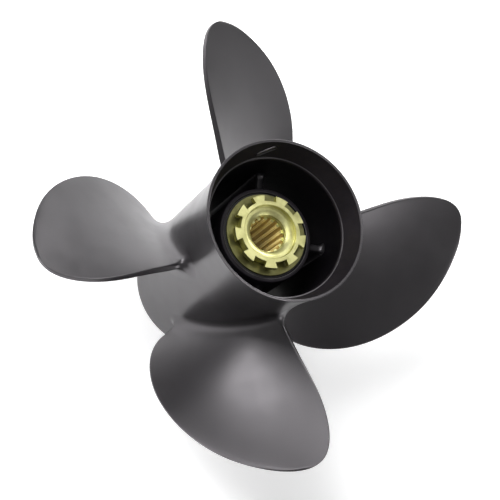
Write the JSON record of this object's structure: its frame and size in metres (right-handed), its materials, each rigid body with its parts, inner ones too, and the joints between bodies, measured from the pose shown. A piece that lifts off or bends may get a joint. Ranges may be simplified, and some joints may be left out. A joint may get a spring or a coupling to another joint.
{
  "type": "boat propeller",
  "caption": "Right-hand outboard propeller: broad raked blades on a flared exhaust barrel, with a splined brass drive bush and castellated flange in a rubber cushion.",
  "frame": {"origin": "on the shaft axis, in the plane of the barrel's front rim, on which the propeller stands", "axes": "+Z along the shaft axis, aft, towards the flared end; the first blade's reference line is 1.9 degrees round from +X"},
  "size_m": [0.2846, 0.2846, 0.1456],
  "materials": {
    "cast_paint": "satin dark grey paint over cast aluminium",
    "brass": "machined, bright",
    "rubber": "matt black"
  },
  "bodies": {
    "casting": {"barrel": "cast_paint", "inner_hub": "cast_paint", "rib_1": "cast_paint", "rib_2": "cast_paint", "rib_3": "cast_paint", "rib_4": "cast_paint", "blade_1": "cast_paint", "blade_2": "cast_paint", "blade_3": "cast_paint", "blade_4": "cast_paint", "rubber_cushion": "rubber"},
    "drive_bush": {"drive_sleeve": "brass", "end_disc": "brass", "castellated_flange": "brass"}
  },
  "joints": [
    {"name": "cushion_twist", "type": "hinge", "parent": "casting", "child": "drive_bush", "pos_m": [0, 0, 0.06], "axis": [0, 0, 1], "range_deg": [-8, 8], "stiffness_Nm_per_rad": 5}
  ]
}
